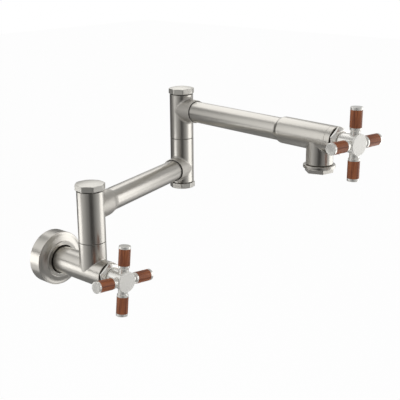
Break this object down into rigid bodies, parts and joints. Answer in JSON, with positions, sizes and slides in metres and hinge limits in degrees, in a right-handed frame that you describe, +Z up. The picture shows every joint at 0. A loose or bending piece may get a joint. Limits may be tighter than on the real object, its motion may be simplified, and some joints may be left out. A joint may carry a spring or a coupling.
{
  "type": "wall mounted pot filler",
  "caption": "Wall mounted folding pot filler tap with two swivel arms, cross handles with wood sleeves, a round wall flange and a short downward outlet.",
  "frame": {"origin": "centre of the inlet's threaded socket at the wall's face", "axes": "+Z up, +Y into the wall, -Y out of the wall towards the user, +X along the wall to the right"},
  "size_m": [0.2591, 0.312, 0.2306],
  "materials": {
    "brushed_nickel": "brushed",
    "polished_nickel": "finely brushed",
    "wood": "oiled",
    "brass": "machined",
    "steel": "machined",
    "ceramic": "lapped",
    "seal_rubber": "matte",
    "slide_plastic": "matte",
    "aerator_plastic": "matte"
  },
  "bodies": {
    "wall_body": {"wall_flange": "brushed_nickel", "flange_support_ring": "seal_rubber", "inlet_body": "brushed_nickel", "seat_seal_1": "seal_rubber", "fixed_disc_1": "ceramic", "cartridge_1": "brass", "cartridge_ring_1": "seal_rubber", "bonnet_nut_1": "polished_nickel", "swivel_spindle_1": "brass", "spindle_rings_1": "seal_rubber", "thrust_washer_1": "slide_plastic", "retaining_washer_1": "slide_plastic", "retaining_nut_1": "brass"},
    "inlet_handle": {"handle_1_stem": "brass", "handle_1_moving_disc": "ceramic", "handle_1_stem_ring": "seal_rubber", "handle_1_hub": "polished_nickel", "handle_1_rods": "steel", "handle_1_sleeves": "wood", "handle_1_end_caps": "polished_nickel", "handle_1_screw": "steel", "handle_1_front_disc": "polished_nickel"},
    "first_arm": {"arm_1_barrel": "brushed_nickel", "post_cap": "brushed_nickel", "arm_1_tube": "brushed_nickel", "arm_1_mouth_ring": "seal_rubber", "elbow_lower_tee": "brushed_nickel", "elbow_bottom_cap": "brushed_nickel", "swivel_spindle_2": "brass", "spindle_rings_2": "seal_rubber", "thrust_washer_2": "slide_plastic", "retaining_washer_2": "slide_plastic", "retaining_nut_2": "brass"},
    "second_arm": {"elbow_upper_tee": "brushed_nickel", "elbow_top_cap": "brushed_nickel", "arm_2_tube": "brushed_nickel", "arm_2_mouth_ring": "seal_rubber", "outlet_valve_body": "brushed_nickel", "seat_seal_2": "seal_rubber", "fixed_disc_2": "ceramic", "cartridge_2": "brass", "cartridge_ring_2": "seal_rubber", "bonnet_nut_2": "polished_nickel", "outlet_nut": "brushed_nickel", "aerator_insert": "aerator_plastic", "aerator_washer": "seal_rubber"},
    "outlet_handle": {"handle_2_stem": "brass", "handle_2_moving_disc": "ceramic", "handle_2_stem_ring": "seal_rubber", "handle_2_hub": "polished_nickel", "handle_2_rods": "steel", "handle_2_sleeves": "wood", "handle_2_end_caps": "polished_nickel", "handle_2_screw": "steel", "handle_2_front_disc": "polished_nickel"}
  },
  "joints": [
    {"name": "inlet_valve_turn", "type": "hinge", "parent": "wall_body", "child": "inlet_handle", "pos_m": [0, -0.1248, 0], "axis": [0, -1, 0], "range_deg": [0, 90]},
    {"name": "first_arm_swing", "type": "hinge", "parent": "wall_body", "child": "first_arm", "pos_m": [0, -0.0755, 0.0733], "axis": [0, 0, 1], "range_deg": [-210.5, 1.5]},
    {"name": "second_arm_swing", "type": "hinge", "parent": "first_arm", "child": "second_arm", "pos_m": [0.20205, -0.02325, 0.1495], "axis": [0, 0, 1], "range_deg": [-70, 290]},
    {"name": "outlet_valve_turn", "type": "hinge", "parent": "second_arm", "child": "outlet_handle", "pos_m": [0.17524, -0.30166, 0.1495], "axis": [-0.0958, -0.9954, 0], "range_deg": [0, 90]}
  ]
}
